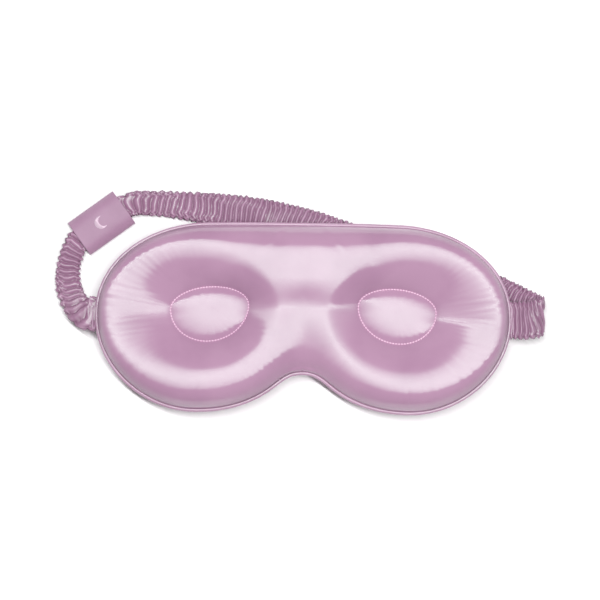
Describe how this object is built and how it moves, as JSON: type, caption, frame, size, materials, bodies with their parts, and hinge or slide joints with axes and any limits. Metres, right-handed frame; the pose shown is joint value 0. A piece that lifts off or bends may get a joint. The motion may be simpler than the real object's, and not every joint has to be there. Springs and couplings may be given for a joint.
{
  "type": "contoured sleep eye mask",
  "caption": "Padded satin sleep eye mask with ringed eye hollows, piped edge, and a gathered elastic strap with a sliding label sleeve.",
  "frame": {"origin": "centre of the footprint of the mask and its folded strap, on the surface it lies on", "axes": "+X along the mask's width towards the right-hand strap fold, +Y towards the brow, +Z out of the front (outer) face"},
  "size_m": [0.2539, 0.1147, 0.023],
  "materials": {
    "silk": "satin silk, orchid pink",
    "lining": "satin silk, face side",
    "liner": "matt black blackout cloth",
    "wadding": "soft white wadding",
    "thread": "glossy sewing thread, pale pink",
    "piping": "satin bias piping",
    "cord": "plain cotton cord",
    "casing": "gathered satin silk tube",
    "label": "woven satin label",
    "print": "pale pink print",
    "elastic": "flat woven elastic, off-white"
  },
  "bodies": {
    "left_half": {"front_panel_left": "silk", "back_panel_left": "lining", "blackout_liner_left": "liner", "front_ring_pad_left": "wadding", "back_ring_pad_left": "wadding", "eye_pad_left": "wadding", "eye_stitch_left": "thread", "piping_cover_left": "piping", "piping_cord_left": "cord", "strap_tack_left": "thread", "strap_casing_left_end": "casing", "elastic_band_left_end": "elastic", "strap_casing_left_run": "casing", "elastic_band_left_run": "elastic"},
    "right_half": {"front_panel_right": "silk", "back_panel_right": "lining", "blackout_liner_right": "liner", "front_ring_pad_right": "wadding", "back_ring_pad_right": "wadding", "eye_pad_right": "wadding", "eye_stitch_right": "thread", "piping_cover_right": "piping", "piping_cord_right": "cord", "strap_tack_right": "thread", "strap_casing_right_run": "casing", "elastic_band_right_run": "elastic"},
    "strap_loop": {"strap_casing_loop": "casing", "elastic_band_loop": "elastic"},
    "label": {"label_sleeve": "label", "label_moon": "print"}
  },
  "joints": [
    {"name": "bridge_fold", "type": "hinge", "parent": "left_half", "child": "right_half", "pos_m": [0.0015, 0.0024, 0.011], "axis": [0, -1, 0], "range_deg": [-25, 50]},
    {"name": "strap_loop_lift", "type": "hinge", "parent": "left_half", "child": "strap_loop", "pos_m": [-0.1157, 0.0025, 0.0034], "axis": [0.723, 0.6909, 0], "range_deg": [0, 45]},
    {"name": "label_slide", "type": "slide", "parent": "strap_loop", "child": "label", "axis": [0.8039, 0.5948, 0], "range_m": [-0.001, 0.005]}
  ]
}
